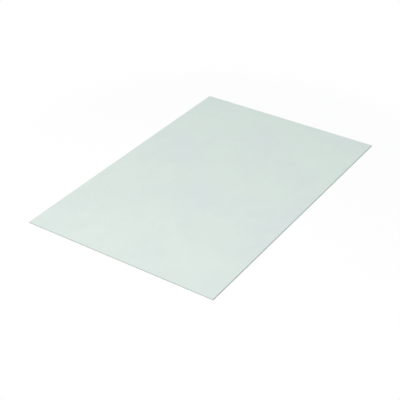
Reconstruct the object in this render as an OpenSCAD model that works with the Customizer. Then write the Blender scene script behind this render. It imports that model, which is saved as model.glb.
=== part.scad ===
// Drywall sheet: a gypsum board bound in paper, with square edges.
// X runs across the sheet, Y along it from end to end, and Z up out of the face.
// The sheet lies on its back, which is centred on the origin.

/* [Sheet] */
// Length between the two cut ends
sheet_length = 1830; // [600:10:3600]
// Width over the two paper-bound edges
sheet_width = 1220; // [300:10:1250]
// Thickness over the papers of face and back
sheet_thickness = 6.5; // [6:0.5:25]

/* [Bound edges] */
// Radius of the fold from the face into a bound edge
face_fold_radius = 2; // [0.5:0.1:3]
// Radius of the fold from a bound edge into the back
back_fold_radius = 1; // [0.5:0.1:2.5]

/* [Hidden] */

paper_colour = [0.86, 0.91, 0.88];
$fn = 64;

half_width = sheet_width / 2;

// What a fold of the paper takes off a square corner, with that corner at the
// origin and the board up and to the right of it
module fold_waste(radius) {
    difference() {
        square(radius);
        translate([radius, radius]) circle(radius);
    }
}

// Section across the board, the same from end to end: a ribbon of gypsum set
// between two papers, with the face paper folded round both edges
module board_section() {
    difference() {
        translate([-half_width, 0]) square([sheet_width, sheet_thickness]);
        for (side = [0, 1]) mirror([side, 0]) {
            translate([-half_width, 0]) fold_waste(back_fold_radius);
            translate([-half_width, sheet_thickness])
                mirror([0, 1]) fold_waste(face_fold_radius);
        }
    }
}

// One sheet: the ribbon cut square at both ends
module drywall_sheet() {
    color(paper_colour)
        translate([0, sheet_length / 2, 0])
            rotate([90, 0, 0])
                linear_extrude(sheet_length) board_section();
}

drywall_sheet();
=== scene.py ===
# %% [markdown]
# A sheet of drywall, lying flat on a white floor.
#
# Drywall is a ribbon of wet gypsum that sets between two papers. The face paper is folded
# round both long edges, the back paper is glued over its flaps, and the ribbon is cut to
# length. So the long edges are smooth folded paper, and the two ends show the bare core.
# This lesson builds one such sheet around its measured solid, which is loaded first and
# never changed. Every size below is in metres, in the frame of that solid.

# %% Load the measured sheet
import math
from collections import namedtuple

import bmesh
import bpy
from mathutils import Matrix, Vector, noise


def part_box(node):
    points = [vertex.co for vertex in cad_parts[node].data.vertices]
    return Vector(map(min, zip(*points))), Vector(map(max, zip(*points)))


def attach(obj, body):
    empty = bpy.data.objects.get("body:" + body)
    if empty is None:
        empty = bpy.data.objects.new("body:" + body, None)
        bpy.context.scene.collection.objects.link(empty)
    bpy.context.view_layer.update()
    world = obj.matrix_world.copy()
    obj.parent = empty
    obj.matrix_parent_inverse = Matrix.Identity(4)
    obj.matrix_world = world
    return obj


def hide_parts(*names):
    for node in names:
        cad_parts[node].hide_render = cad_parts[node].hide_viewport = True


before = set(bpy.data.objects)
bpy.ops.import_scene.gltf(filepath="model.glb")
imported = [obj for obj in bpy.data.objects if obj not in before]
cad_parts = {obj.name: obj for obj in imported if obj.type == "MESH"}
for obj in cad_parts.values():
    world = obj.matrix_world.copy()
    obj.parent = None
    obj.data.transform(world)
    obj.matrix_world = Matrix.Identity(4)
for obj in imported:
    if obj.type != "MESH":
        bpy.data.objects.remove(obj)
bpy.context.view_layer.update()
sheet_low, sheet_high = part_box("drywall_sheet")
sheet_size = sheet_high - sheet_low
width, length, thickness = sheet_size
print(f"sheet of {length:.3f} by {width:.3f} m, {thickness * 1000:.1f} mm thick")

# %% [markdown]
# The camera comes before the looks, because it decides how much detail will show. It
# stands off the near right corner with a long lens, so the sheet's far end is only a
# little smaller than its near end. Its place could be found by trial. Here it was worked
# out from where the four corners of the face have to appear in the picture.

# %% Set up the camera
LENS_MM = 86.4
CAMERA_SPOT = Vector((2.613, -4.035, 3.037))
CAMERA_TURN = math.radians(33.70)
CAMERA_DIP = math.radians(33.35)


def add_object(name, data):
    added = bpy.data.objects.new(name, data)
    bpy.context.collection.objects.link(added)
    return added


camera = add_object("camera", bpy.data.cameras.new("camera"))
camera.data.lens = LENS_MM
camera.location = CAMERA_SPOT
camera.rotation_euler = (math.pi / 2 - CAMERA_DIP, 0.0, CAMERA_TURN)
bpy.context.scene.camera = camera
print(f"camera {CAMERA_SPOT.length:.2f} m from the middle of the sheet")

# %% [markdown]
# The real board is a straight ribbon with one section from end to end. That section could
# be drawn and swept, but a block with its edges rounded gives the same in fewer steps. The
# block is a hair thinner than the sheet: the back paper is added under it later, and it
# stands proud of the flaps beside it.

# %% Start from a blank
SEAM_STEP = 0.00025

board = bmesh.new()
bmesh.ops.create_cube(board, size=1.0)
bmesh.ops.scale(board, vec=(width, length, thickness - SEAM_STEP), verts=board.verts)
bmesh.ops.translate(board, vec=(0, 0, (thickness + SEAM_STEP) / 2), verts=board.verts)
print(f"blank with {len(board.faces)} faces")

# %% [markdown]
# Paper can't turn a sharp corner round wet gypsum, so each long edge has two small folds,
# a wider one at the face and a tighter one at the back. A bevel on the block's four long
# edges makes them. Only the folds are shaded smooth: the flat sides keep their own
# normals, or the whole face would seem to bulge.

# %% Fold the long edges
FACE_FOLD = 0.002
BACK_FOLD = 0.001
FOLD_STEPS = 10
HAIR = 1e-6


def long_edges(height):
    found = []
    for edge in board.edges:
        start, end = (corner.co for corner in edge.verts)
        along = abs(end.y - start.y) > length / 2
        if along and max(abs(start.z - height), abs(end.z - height)) < HAIR:
            found.append(edge)
    return found


for height, radius in ((thickness, FACE_FOLD), (SEAM_STEP, BACK_FOLD)):
    fold = bmesh.ops.bevel(
        board, geom=long_edges(height), offset=radius, offset_type="OFFSET",
        segments=FOLD_STEPS, profile=0.5, affect="EDGES", material=-1)
    for face in fold["faces"]:
        face.smooth = True
    print(f"folds of {radius * 1000:.1f} mm radius: {len(fold['faces'])} faces")

# %% [markdown]
# Underneath, the face paper ends in a flap along each edge, and the back paper covers the
# rest up to a straight seam on each flap. The seam could be painted on, but a step that
# catches the light is truer: two cuts part the flaps from the middle, and the middle is
# extruded down by the thickness of the back paper. It is drawn in a little as well, because
# the rim of a glued paper is pressed into a slope. A cut takes its faces along with their
# edges and corners, which with_rims gathers.

# %% Lay the back paper over the flaps
FACE_PAPER, BACK_PAPER, CUT_PLY, GYPSUM = range(4)
FLAP = 0.024
SEAM_SLOPE = 0.0005
RIGHT, ALONG, UP = Vector((1, 0, 0)), Vector((0, 1, 0)), Vector((0, 0, 1))
SQUARE_ON = 0.99


def with_rims(faces):
    rims = [edge for face in faces for edge in face.edges]
    corners = [corner for face in faces for corner in face.verts]
    return [*faces, *dict.fromkeys(rims), *dict.fromkeys(corners)]


def cut_across(faces, axis, stop):
    return bmesh.ops.bisect_plane(
        board, geom=with_rims(faces), dist=HAIR, plane_co=axis * stop, plane_no=axis)


def faces_towards(direction):
    board.normal_update()
    return [face for face in board.faces if face.normal.dot(direction) > SQUARE_ON]


def largest(faces):
    return max(faces, key=lambda face: face.calc_area())


seam = width / 2 - FLAP
for stop in (-seam, seam):
    cut_across(faces_towards(-UP), RIGHT, stop)

middle = largest(faces_towards(-UP))
back = bmesh.ops.extrude_discrete_faces(board, faces=[middle])["faces"][0]
bmesh.ops.translate(board, vec=-UP * SEAM_STEP, verts=back.verts)
bmesh.ops.scale(board, vec=(1 - SEAM_SLOPE / seam, 1, 1), verts=back.verts)
for rim in back.edges:
    for face in rim.link_faces:
        face.material_index = BACK_PAPER
print(f"back paper of {back.calc_area():.2f} square metres")

# %% [markdown]
# A knife cuts the ribbon to length, so each end shows a thin ring of cut paper round the
# core. A ring painted on a flat end would pass from afar, but close to it has no depth. So
# two insets make it: one leaves the ring, and the next sinks the core a little, as the
# softer gypsum breaks away behind the paper.

# %% Cut the ends
PAPER = 0.0004
CORE_SINK = 0.0003
CORE_SLOPE = 0.0002

ends = []
for direction in (-ALONG, ALONG):
    cut_faces = faces_towards(direction)
    for face in cut_faces:
        face.material_index = CUT_PLY
    ends.append(largest(cut_faces))
bmesh.ops.inset_individual(board, faces=ends, thickness=PAPER, use_even_offset=True)
for face in ends:
    face.material_index = GYPSUM
bmesh.ops.inset_individual(
    board, faces=ends, thickness=CORE_SLOPE, depth=-CORE_SINK, use_even_offset=True)
print(f"{len(ends)} cut ends, each core {ends[0].calc_area() * 1e4:.0f} square centimetres")

# %% [markdown]
# Set gypsum is full of air bubbles and breaks in crumbs. A bump texture could suggest
# that, but it would leave the outline of a close view dead straight. So the crumbs are
# real: each core is sliced into small squares, as a loaf is, first in rows and then across.

# %% Slice the cores
CRUMB = 0.0009


def stops_between(low, high):
    count = round((high - low) / CRUMB)
    return [low + (high - low) * step / count for step in range(1, count)]


def sliced(faces, axis, stops):
    slices = []
    rest = faces
    for stop in stops:
        cut = cut_across(rest, axis, stop)
        made = [part for part in cut["geom"] if isinstance(part, bmesh.types.BMFace)]
        slices += [face for face in made if face.calc_center_median().dot(axis) < stop]
        rest = [face for face in made if face.calc_center_median().dot(axis) >= stop]
    return slices + rest


crumbs = []
for end in ends:
    rows = sliced([end], UP, stops_between(SEAM_STEP, thickness))
    crumbs += sliced(rows, RIGHT, stops_between(-width / 2, width / 2))
print(f"cores sliced into {len(crumbs)} faces")

# %% [markdown]
# Then the points inside each core are pushed in by a noise: a fine grain everywhere, and a
# deeper pit here and there. The points round the core stay, so it still meets the paper.

# %% Crumble the cores
GRAIN_SIZE = 0.0015
GRAIN_DEPTH = 0.0002
PIT_SIZE = 0.004
PIT_DEPTH = 0.0014
PIT_RIM = 0.25


def crumbled(point):
    grain = noise.noise(point / GRAIN_SIZE)
    pit = max(0.0, noise.noise(point / PIT_SIZE) - PIT_RIM)
    return GRAIN_DEPTH * grain + PIT_DEPTH * pit


crumb_faces = set(crumbs)
for face in crumbs:
    face.smooth = True
core_points = dict.fromkeys(corner for face in crumbs for corner in face.verts)
inner_points = [point for point in core_points if crumb_faces.issuperset(point.link_faces)]
for point in inner_points:
    point.co.y -= math.copysign(crumbled(point.co), point.co.y)
print(f"{len(inner_points)} points of the cores moved")

# %% [markdown]
# The folds still run from end to end in single strips. A bake averages the normals where a
# fold meets a cut end, and that false tilt would spread along the whole strip. A cut close
# behind each end, deeper than any pit, keeps it to the last bit. A few cuts along the board
# part the ends into rows, which the map below needs.

# %% Cut the long strips
END_MARGIN = 0.002
END_ROWS = 4

cuts = [(ALONG, side * (length / 2 - END_MARGIN)) for side in (-1, 1)]
cuts += [(RIGHT, width * (row / END_ROWS - 0.5)) for row in range(1, END_ROWS)]
for axis, stop in cuts:
    cut_across(list(board.faces), axis, stop)
print(f"{len(cuts)} cuts leave {len(board.faces)} faces")

# %% [markdown]
# The finishes below can be baked into pictures, and a map says where on the picture each
# side of the board lies. Blender could unwrap the board by itself, but it gives every side
# the same scale, and on a picture that holds the whole sheet the thin sides would be two or
# three pixels wide. So the map is planned patch by patch, as a tailor lays out a cloth. Face
# and back lie side by side, with the flaps a little apart, or their colour would run into the
# back paper's. The room over them is shared by bands, one for each bound edge and one for
# each row of an end, all stretched across the thickness.

# %% Plan a map for baking
MAP_GAP = 0.004
Patch = namedtuple("Patch", "outward across middle span corner size")

panel_width = (1 - MAP_GAP) / 2
panel_height = panel_width * length / width
patches = [Patch(UP, RIGHT, 0, width, (0, 0), (panel_width, panel_height))]

flap_middle = seam + FLAP / 2
back_scale = (panel_width - 2 * MAP_GAP) / width
strip_left = panel_width + MAP_GAP
for strip_middle, span in ((-flap_middle, FLAP), (0, 2 * seam), (flap_middle, FLAP)):
    strip_width = span * back_scale
    strip_size = (strip_width, panel_height)
    patches.append(Patch(-UP, -RIGHT, strip_middle, span, (strip_left, 0), strip_size))
    strip_left += strip_width + MAP_GAP

bands = [(RIGHT, ALONG, 0, length), (-RIGHT, -ALONG, 0, length)]
for row in range(END_ROWS):
    row_middle = width * ((row + 0.5) / END_ROWS - 0.5)
    bands.append((-ALONG, RIGHT, row_middle, width / END_ROWS))
    bands.append((ALONG, -RIGHT, row_middle, width / END_ROWS))
band_pitch = (1 - panel_height) / len(bands)
for index, band in enumerate(bands):
    corner = (0, panel_height + MAP_GAP + index * band_pitch)
    patches.append(Patch(*band, corner, (1, band_pitch - MAP_GAP)))
print(f"map of {len(patches)} patches, {len(bands)} of them bands {band_pitch:.3f} apart")

# %% [markdown]
# Each face goes on the patch that looks the same way and holds its middle. A crumb looks
# every way, but it was only pushed along the board, so all of an end lies flat on its rows.
# The map has the name that an export looks for.

# %% Lay the board on its map
MAP_NAME = "OFBake"

sheet_middle = (sheet_low + sheet_high) / 2


def patch_for(face):
    centre = face.calc_center_median()
    cut = face.material_index in (CUT_PLY, GYPSUM)
    outward = ALONG * centre.y if cut else face.normal

    def fit(patch):
        outside = abs(centre.dot(patch.across) - patch.middle) - patch.span / 2
        return patch.outward.dot(outward), -max(0, outside)

    return max(patches, key=fit)


def laid_on(patch, point):
    up = patch.outward.cross(patch.across)
    share_across = (point.dot(patch.across) - patch.middle) / patch.span + 0.5
    share_up = (point - sheet_middle).dot(up) / abs(sheet_size.dot(up)) + 0.5
    left, bottom = patch.corner
    wide, high = patch.size
    return left + share_across * wide, bottom + share_up * high


board.normal_update()
baking_map = board.loops.layers.uv.new(MAP_NAME)
for face in board.faces:
    patch = patch_for(face)
    for loop in face.loops:
        loop[baking_map].uv = laid_on(patch, loop.vert.co)
print(f"{len(board.faces)} faces laid on the map")

# %% [markdown]
# The mesh is finished, so it becomes one object. It stands at the origin, unturned, with
# its place in its points, as the measured solid does. It rides on the same body, and it
# hides the plain solid that it stands for.


# %% Make the piece
def add_mesh(name, shape):
    mesh = bpy.data.meshes.new(name)
    shape.to_mesh(mesh)
    shape.free()
    return add_object(name, mesh)


bmesh.ops.recalc_face_normals(board, faces=board.faces)
drywall_board = add_mesh("drywall_board", board)
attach(drywall_board, "root")
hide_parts("drywall_sheet")
print(f"drywall_board has {len(drywall_board.data.polygons)} faces")

# %% [markdown]
# The finishes are node materials. Their sums would be hard to follow as long lists of
# nodes and links, so one small class wraps a socket: sums on it add Math nodes, and its
# node method adds any other node, with the settings first and then the sockets. The other
# methods are short names for what comes often. A Mix node has sockets for each kind of
# value, so those for colours go by their numbers.

# %% Wrap a socket for shader maths
MIX_FACTOR, MIX_FIRST, MIX_SECOND, MIX_RESULT = 0, 6, 7, 2


class Signal:
    def __init__(self, tree, socket=None):
        self.tree = tree
        self.socket = socket

    def node(self, kind, settings, inputs, output=0):
        made = self.tree.nodes.new(kind)
        for name, value in settings.items():
            setattr(made, name, value)
        for name, value in inputs.items():
            if isinstance(value, Signal):
                self.tree.links.new(value.socket, made.inputs[name])
            else:
                made.inputs[name].default_value = value
        return Signal(self.tree, made.outputs[output] if made.outputs else None)

    def maths(self, operation, first, second):
        return self.node("ShaderNodeMath", {"operation": operation}, {0: first, 1: second})

    def __add__(self, other):
        return self.maths("ADD", self, other)

    def __radd__(self, other):
        return self.maths("ADD", other, self)

    def __sub__(self, other):
        return self.maths("SUBTRACT", self, other)

    def __rsub__(self, other):
        return self.maths("SUBTRACT", other, self)

    def __mul__(self, other):
        return self.maths("MULTIPLY", self, other)

    def __rmul__(self, other):
        return self.maths("MULTIPLY", other, self)

    def ranging(self, low, high):
        """Runs from low to high as this runs from 0 to 1."""
        return low + self * (high - low)

    def swinging(self, amount):
        """Swings by the amount in all, with zero in the middle."""
        return (self - 0.5) * amount

    def between(self, low, high):
        """Is 0 up to low and 1 from high on, with a soft step between them."""
        span = {"Value": self, "From Min": low, "From Max": high}
        return self.node("ShaderNodeMapRange", {"interpolation_type": "SMOOTHSTEP"}, span)

    def blend(self, first, second):
        """Goes from the first colour to the second as this runs from 0 to 1."""
        colours = {MIX_FACTOR: self, MIX_FIRST: first, MIX_SECOND: second}
        return self.node("ShaderNodeMix", {"data_type": "RGBA"}, colours, output=MIX_RESULT)

    def noise(self, size, detail=2.0, roughness=0.5):
        """Lays a noise whose spots are about the size across."""
        inputs = {"Vector": self, "Scale": 1.0 / size, "Detail": detail, "Roughness": roughness}
        return self.node("ShaderNodeTexNoise", {}, inputs)

    def streaked(self, size, turn=0.0):
        """Lays a noise with a size of its own along each axis, turned about the vertical."""
        inputs = {"Vector": self, "Rotation": (0.0, 0.0, turn), "Scale": size}
        stretched = self.node("ShaderNodeMapping", {"vector_type": "TEXTURE"}, inputs)
        return stretched.noise(1.0)

    def bump(self, strength, distance):
        inputs = {"Height": self, "Strength": strength, "Distance": distance}
        return self.node("ShaderNodeBump", {}, inputs)


print("shader maths:", [name for name in vars(Signal) if not name.startswith("_")])

# %% [markdown]
# Every finish starts from the place of a point on its own object, because a pattern on
# those coordinates stays put when the object moves. The finishes of the board all end in
# one principled shader.


# %% Start and end a finish
def new_finish(name):
    material = bpy.data.materials.new(name)
    material.use_nodes = True
    material.node_tree.nodes.clear()
    start = Signal(material.node_tree)
    return material, start.node("ShaderNodeTexCoord", {}, {}, output="Object")


def surface(place, inputs):
    shader = place.node("ShaderNodeBsdfPrincipled", {}, inputs)
    place.node("ShaderNodeOutputMaterial", {}, {"Surface": shader})


def opaque(red, green, blue):
    return red, green, blue, 1.0


WHITE = opaque(1.0, 1.0, 1.0)
print("white is", WHITE)

# %% [markdown]
# Paper is a mat of fibres, millimetres long and laid every way. Close to, some show dark
# and some light. One noise, stretched into strands, would give fibres all one way, so
# several are turned against each other.

# %% Fibres
FIBRE_SIZE = (0.005, 0.0004, 0.0004)
FIBRE_TURNS = [math.radians(turn) for turn in (10, 50, 85, 130, 160)]
STRAND_EDGES = (0.62, 0.72)


def fibre_mat(place):
    strands = [place.streaked(FIBRE_SIZE, turn) for turn in FIBRE_TURNS]
    dark = sum(strand.between(*STRAND_EDGES) for strand in strands)
    light = sum((1.0 - strand).between(*STRAND_EDGES) for strand in strands)
    return dark, light


print(f"fibres of {FIBRE_SIZE[0] * 1000:.0f} mm laid {len(FIBRE_TURNS)} ways")

# %% [markdown]
# From afar paper is one soft tone, clouded between two tints. It has faint blotches, fainter
# streaks along the way the mill ran, and the small flocks that paper makers call its
# formation. Here and there is a speck of recycled pulp. A picture of real paper could show
# all that, but it would blur close to. So each is one layer of noise at its own size:
# clouds, fibres and specks tint the paper, and the rest make it a little lighter or darker.

# %% A recipe for paper
CLOUD_SIZE = 0.4
CLOUD_EDGES = (0.35, 0.65)
BLOTCH_SIZE = 0.12
BLOTCH_SHADE = 0.09
STREAK_SIZE = (0.022, 1.2, 0.022)
STREAK_SHADE = 0.02
FORMATION_SIZE = 0.004
FORMATION_SHADE = 0.06
SPECK_SIZE = 0.002
SPECK_EDGES = (0.78, 0.83)
FIBRE_RELIEF = 0.2
PAPER_RELIEF = 0.00015
PAPER_BUMP = 0.5
PAPER_ROUGHNESS = (0.68, 0.88)
PAPER_SHINE = 0.35


def paper_finish(name, clouds, fibres, speck, flecks, grain):
    material, place = new_finish(name)
    cloud = place.noise(CLOUD_SIZE).between(*CLOUD_EDGES)
    blotch = place.noise(BLOTCH_SIZE, detail=5.0, roughness=0.7).swinging(BLOTCH_SHADE)
    streak = place.streaked(STREAK_SIZE).swinging(STREAK_SHADE)
    formation = place.noise(FORMATION_SIZE, detail=4.0, roughness=0.6)
    specks = place.noise(SPECK_SIZE, detail=0.0).between(*SPECK_EDGES)
    dark, light = fibre_mat(place)

    tone = cloud.blend(*clouds)
    tone = (dark * flecks).blend(tone, fibres[0])
    tone = (light * flecks).blend(tone, fibres[1])
    tone = (specks * flecks).blend(tone, speck)
    shade = 1.0 + blotch + streak + formation.swinging(FORMATION_SHADE * grain)
    tone = place.node("ShaderNodeVectorMath", {"operation": "SCALE"}, {0: tone, "Scale": shade})
    height = formation + (light - dark) * FIBRE_RELIEF
    surface(place, {
        "Base Color": tone,
        "Roughness": formation.ranging(*PAPER_ROUGHNESS),
        "Specular IOR Level": PAPER_SHINE,
        "Normal": height.bump(PAPER_BUMP, PAPER_RELIEF * grain),
    })
    print(f"{name}: {len(material.node_tree.nodes)} nodes")
    return material


print(f"paper relief of {PAPER_RELIEF * 1000:.2f} mm")

# %% [markdown]
# Both papers of the board share the recipe. They could be one finish with two colours, but
# the back paper is recycled pulp, so it is also the rougher of the two and has more flecks.

# %% Paper for the face and the back
face_paper = paper_finish(
    "face_paper", clouds=(opaque(0.678, 0.769, 0.717), opaque(0.671, 0.753, 0.737)),
    fibres=(opaque(0.60, 0.66, 0.62), opaque(0.74, 0.82, 0.78)),
    speck=opaque(0.45, 0.46, 0.42), flecks=0.3, grain=1.0)
back_paper = paper_finish(
    "back_paper", clouds=(opaque(0.47, 0.47, 0.42), opaque(0.44, 0.44, 0.40)),
    fibres=(opaque(0.33, 0.32, 0.28), opaque(0.62, 0.60, 0.53)),
    speck=opaque(0.17, 0.16, 0.13), flecks=0.6, grain=1.8)

# %% [markdown]
# The core is set gypsum, an off-white powdery stone that is all pores and never glossy. Its
# coarse crumbs are in the mesh. One flat tone on them would look like plastic, so the finish
# adds what is finer: a powder of two tones, and pores that are a little sunk and darkened with
# painted shade.

# %% Gypsum
POWDER_SIZE = 0.0011
POWDER_TONES = (opaque(0.68, 0.75, 0.72), opaque(0.76, 0.82, 0.79))
PORE_SIZE = 0.0007
PORE_EDGES = (0.58, 0.72)
# The pores' painted shade: the grey they are darkened towards, and how strongly.
PAINTED_PORE_SHADE = opaque(0.42, 0.47, 0.45)
PAINTED_PORE_SHADE_AMOUNT = 0.45
PORE_RELIEF = 0.0002
PORE_BUMP = 0.7
GYPSUM_ROUGHNESS = (0.88, 0.98)
CUT_SHINE = 0.2


def gypsum_finish():
    material, place = new_finish("gypsum_core")
    powder = place.noise(POWDER_SIZE, detail=3.0, roughness=0.6)
    pores = place.noise(PORE_SIZE, detail=1.0).between(*PORE_EDGES)
    # The base colour darkens the pores with painted shade, and the bump sinks them.
    surface(place, {
        "Base Color": (pores * PAINTED_PORE_SHADE_AMOUNT).blend(powder.blend(*POWDER_TONES), PAINTED_PORE_SHADE),
        "Roughness": powder.ranging(*GYPSUM_ROUGHNESS),
        "Specular IOR Level": CUT_SHINE,
        "Normal": (powder - pores).bump(PORE_BUMP, PORE_RELIEF),
    })
    return material


gypsum_core = gypsum_finish()
print(f"gypsum with pores of {PORE_SIZE * 1000:.1f} mm")

# %% [markdown]
# The ring of cut paper shows the plies it was made of, films of pulp that are greyer inside
# than at the face. They are too thin to model, so a noise that is wide and long but very
# low lays them on each other.

# %% Cut paper
PLY_SIZE = (0.025, 0.025, 0.0001)
PLY_TONES = (opaque(0.58, 0.62, 0.58), opaque(0.70, 0.76, 0.72))
PLY_ROUGHNESS = (0.85, 0.95)


def cut_ply_finish():
    material, place = new_finish("cut_paper_ply")
    plies = place.streaked(PLY_SIZE)
    surface(place, {
        "Base Color": plies.blend(*PLY_TONES),
        "Roughness": plies.ranging(*PLY_ROUGHNESS),
        "Specular IOR Level": CUT_SHINE,
    })
    return material


finishes = {
    FACE_PAPER: face_paper,
    BACK_PAPER: back_paper,
    CUT_PLY: cut_ply_finish(),
    GYPSUM: gypsum_core,
}
for slot in sorted(finishes):
    drywall_board.data.materials.append(finishes[slot])
print("finishes:", [finish.name for finish in drywall_board.data.materials])

# %% [markdown]
# The sheet lies on a plain floor, which isn't part of the object. A studio's floor often
# curves up behind its subject, but this sheet is looked at from all sides. So the floor is
# one flat face, wide enough to fill the view from any of them.

# %% Lay the floor
FLOOR_REACH = 60.0

floor_shape = bmesh.new()
bmesh.ops.create_grid(floor_shape, x_segments=1, y_segments=1, size=FLOOR_REACH)
floor = add_mesh("floor", floor_shape)
print(f"floor {2 * FLOOR_REACH:.0f} m wide")

# %% [markdown]
# The camera sees the floor as white, with the sheet's soft shadow. A white floor could do
# that alone, but it would throw so much light on the thin edges that they would lose their
# shade. So a ray that only carries light meets a mid grey. Away from the sheet, where no
# shadow falls, the floor is plain white whatever light it gets.

# %% Finish the floor
FLOOR_WHITE = opaque(0.98, 0.98, 0.98)
FLOOR_GREY = opaque(0.30, 0.32, 0.33)
FLOOR_GLOW = 0.75
PAST_SHADOW = (1.15, 1.75)


def seen_rays(start):
    kinds = ("Is Camera Ray", "Is Glossy Ray", "Is Transmission Ray")
    return sum(start.node("ShaderNodeLightPath", {}, {}, output=kind) for kind in kinds)


floor_finish, floor_place = new_finish("white_floor")
seen = seen_rays(floor_place)
matt = floor_place.node(
    "ShaderNodeBsdfDiffuse", {}, {"Color": seen.blend(FLOOR_GREY, FLOOR_WHITE)})
glow = floor_place.node("ShaderNodeEmission", {}, {"Color": WHITE, "Strength": 1.0})
away = floor_place.node(
    "ShaderNodeVectorMath", {"operation": "LENGTH"}, {0: floor_place}, output="Value")
plain = away.between(*PAST_SHADOW).ranging(FLOOR_GLOW, 1.0)
lit = floor_place.node("ShaderNodeMixShader", {}, {0: seen * plain, 1: matt, 2: glow})
floor_place.node("ShaderNodeOutputMaterial", {}, {"Surface": lit})
floor.data.materials.append(floor_finish)
print(f"floor plain white from {PAST_SHADOW[1]} m out")

# %% [markdown]
# Plain studio light has a wide soft key, here from the near left. Alone it would light the
# face evenly, so a weaker softbox stands high beyond the near end and makes the face a
# little brighter there. Both stand left of the right edge, so that edge stays dark.

# %% Lamps
LAMP_COLOUR = (1.0, 0.905, 0.866)
KEY_SPOT = Vector((-2.5, -1.7, 4.05))
KEY_STRENGTH = 1.64
KEY_SPREAD = math.radians(12)
SOFTBOX_SPOT = Vector((-0.3, -4.0, 4.5))
SOFTBOX_SIZE = 2.0
SOFTBOX_WATTS = 130.0


def add_lamp(name, kind, spot, energy):
    lamp = bpy.data.lights.new(name, kind)
    lamp.color = LAMP_COLOUR
    lamp.energy = energy
    holder = add_object(name, lamp)
    holder.location = spot
    holder.rotation_euler = (-spot).to_track_quat("-Z", "Y").to_euler()
    return lamp


key = add_lamp("key", "SUN", KEY_SPOT, KEY_STRENGTH)
key.angle = KEY_SPREAD
softbox = add_lamp("softbox", "AREA", SOFTBOX_SPOT, SOFTBOX_WATTS)
softbox.size = SOFTBOX_SIZE
print("lamps:", [lamp.name for lamp in (key, softbox)])

# %% [markdown]
# The shade is filled by a cool even light from all round. A third lamp would cast a shadow
# of its own, so the fill comes from the world, which the camera sees as white.

# %% Fill
FILL_COLOUR = opaque(0.83, 1.0, 1.07)
FILL_STRENGTH = 0.38

world = bpy.data.worlds.new("studio")
world.use_nodes = True
world.node_tree.nodes.clear()
air = Signal(world.node_tree)
fill = air.node(
    "ShaderNodeBackground", {}, {"Color": FILL_COLOUR, "Strength": FILL_STRENGTH})
backdrop = air.node("ShaderNodeBackground", {}, {"Color": WHITE, "Strength": 1.0})
sky = air.node("ShaderNodeMixShader", {}, {0: seen_rays(air), 1: fill, 2: backdrop})
air.node("ShaderNodeOutputWorld", {}, {"Surface": sky})
bpy.context.scene.world = world
bpy.context.scene.view_settings.view_transform = "Standard"
print(f"fill of strength {FILL_STRENGTH}")

# %% [markdown]
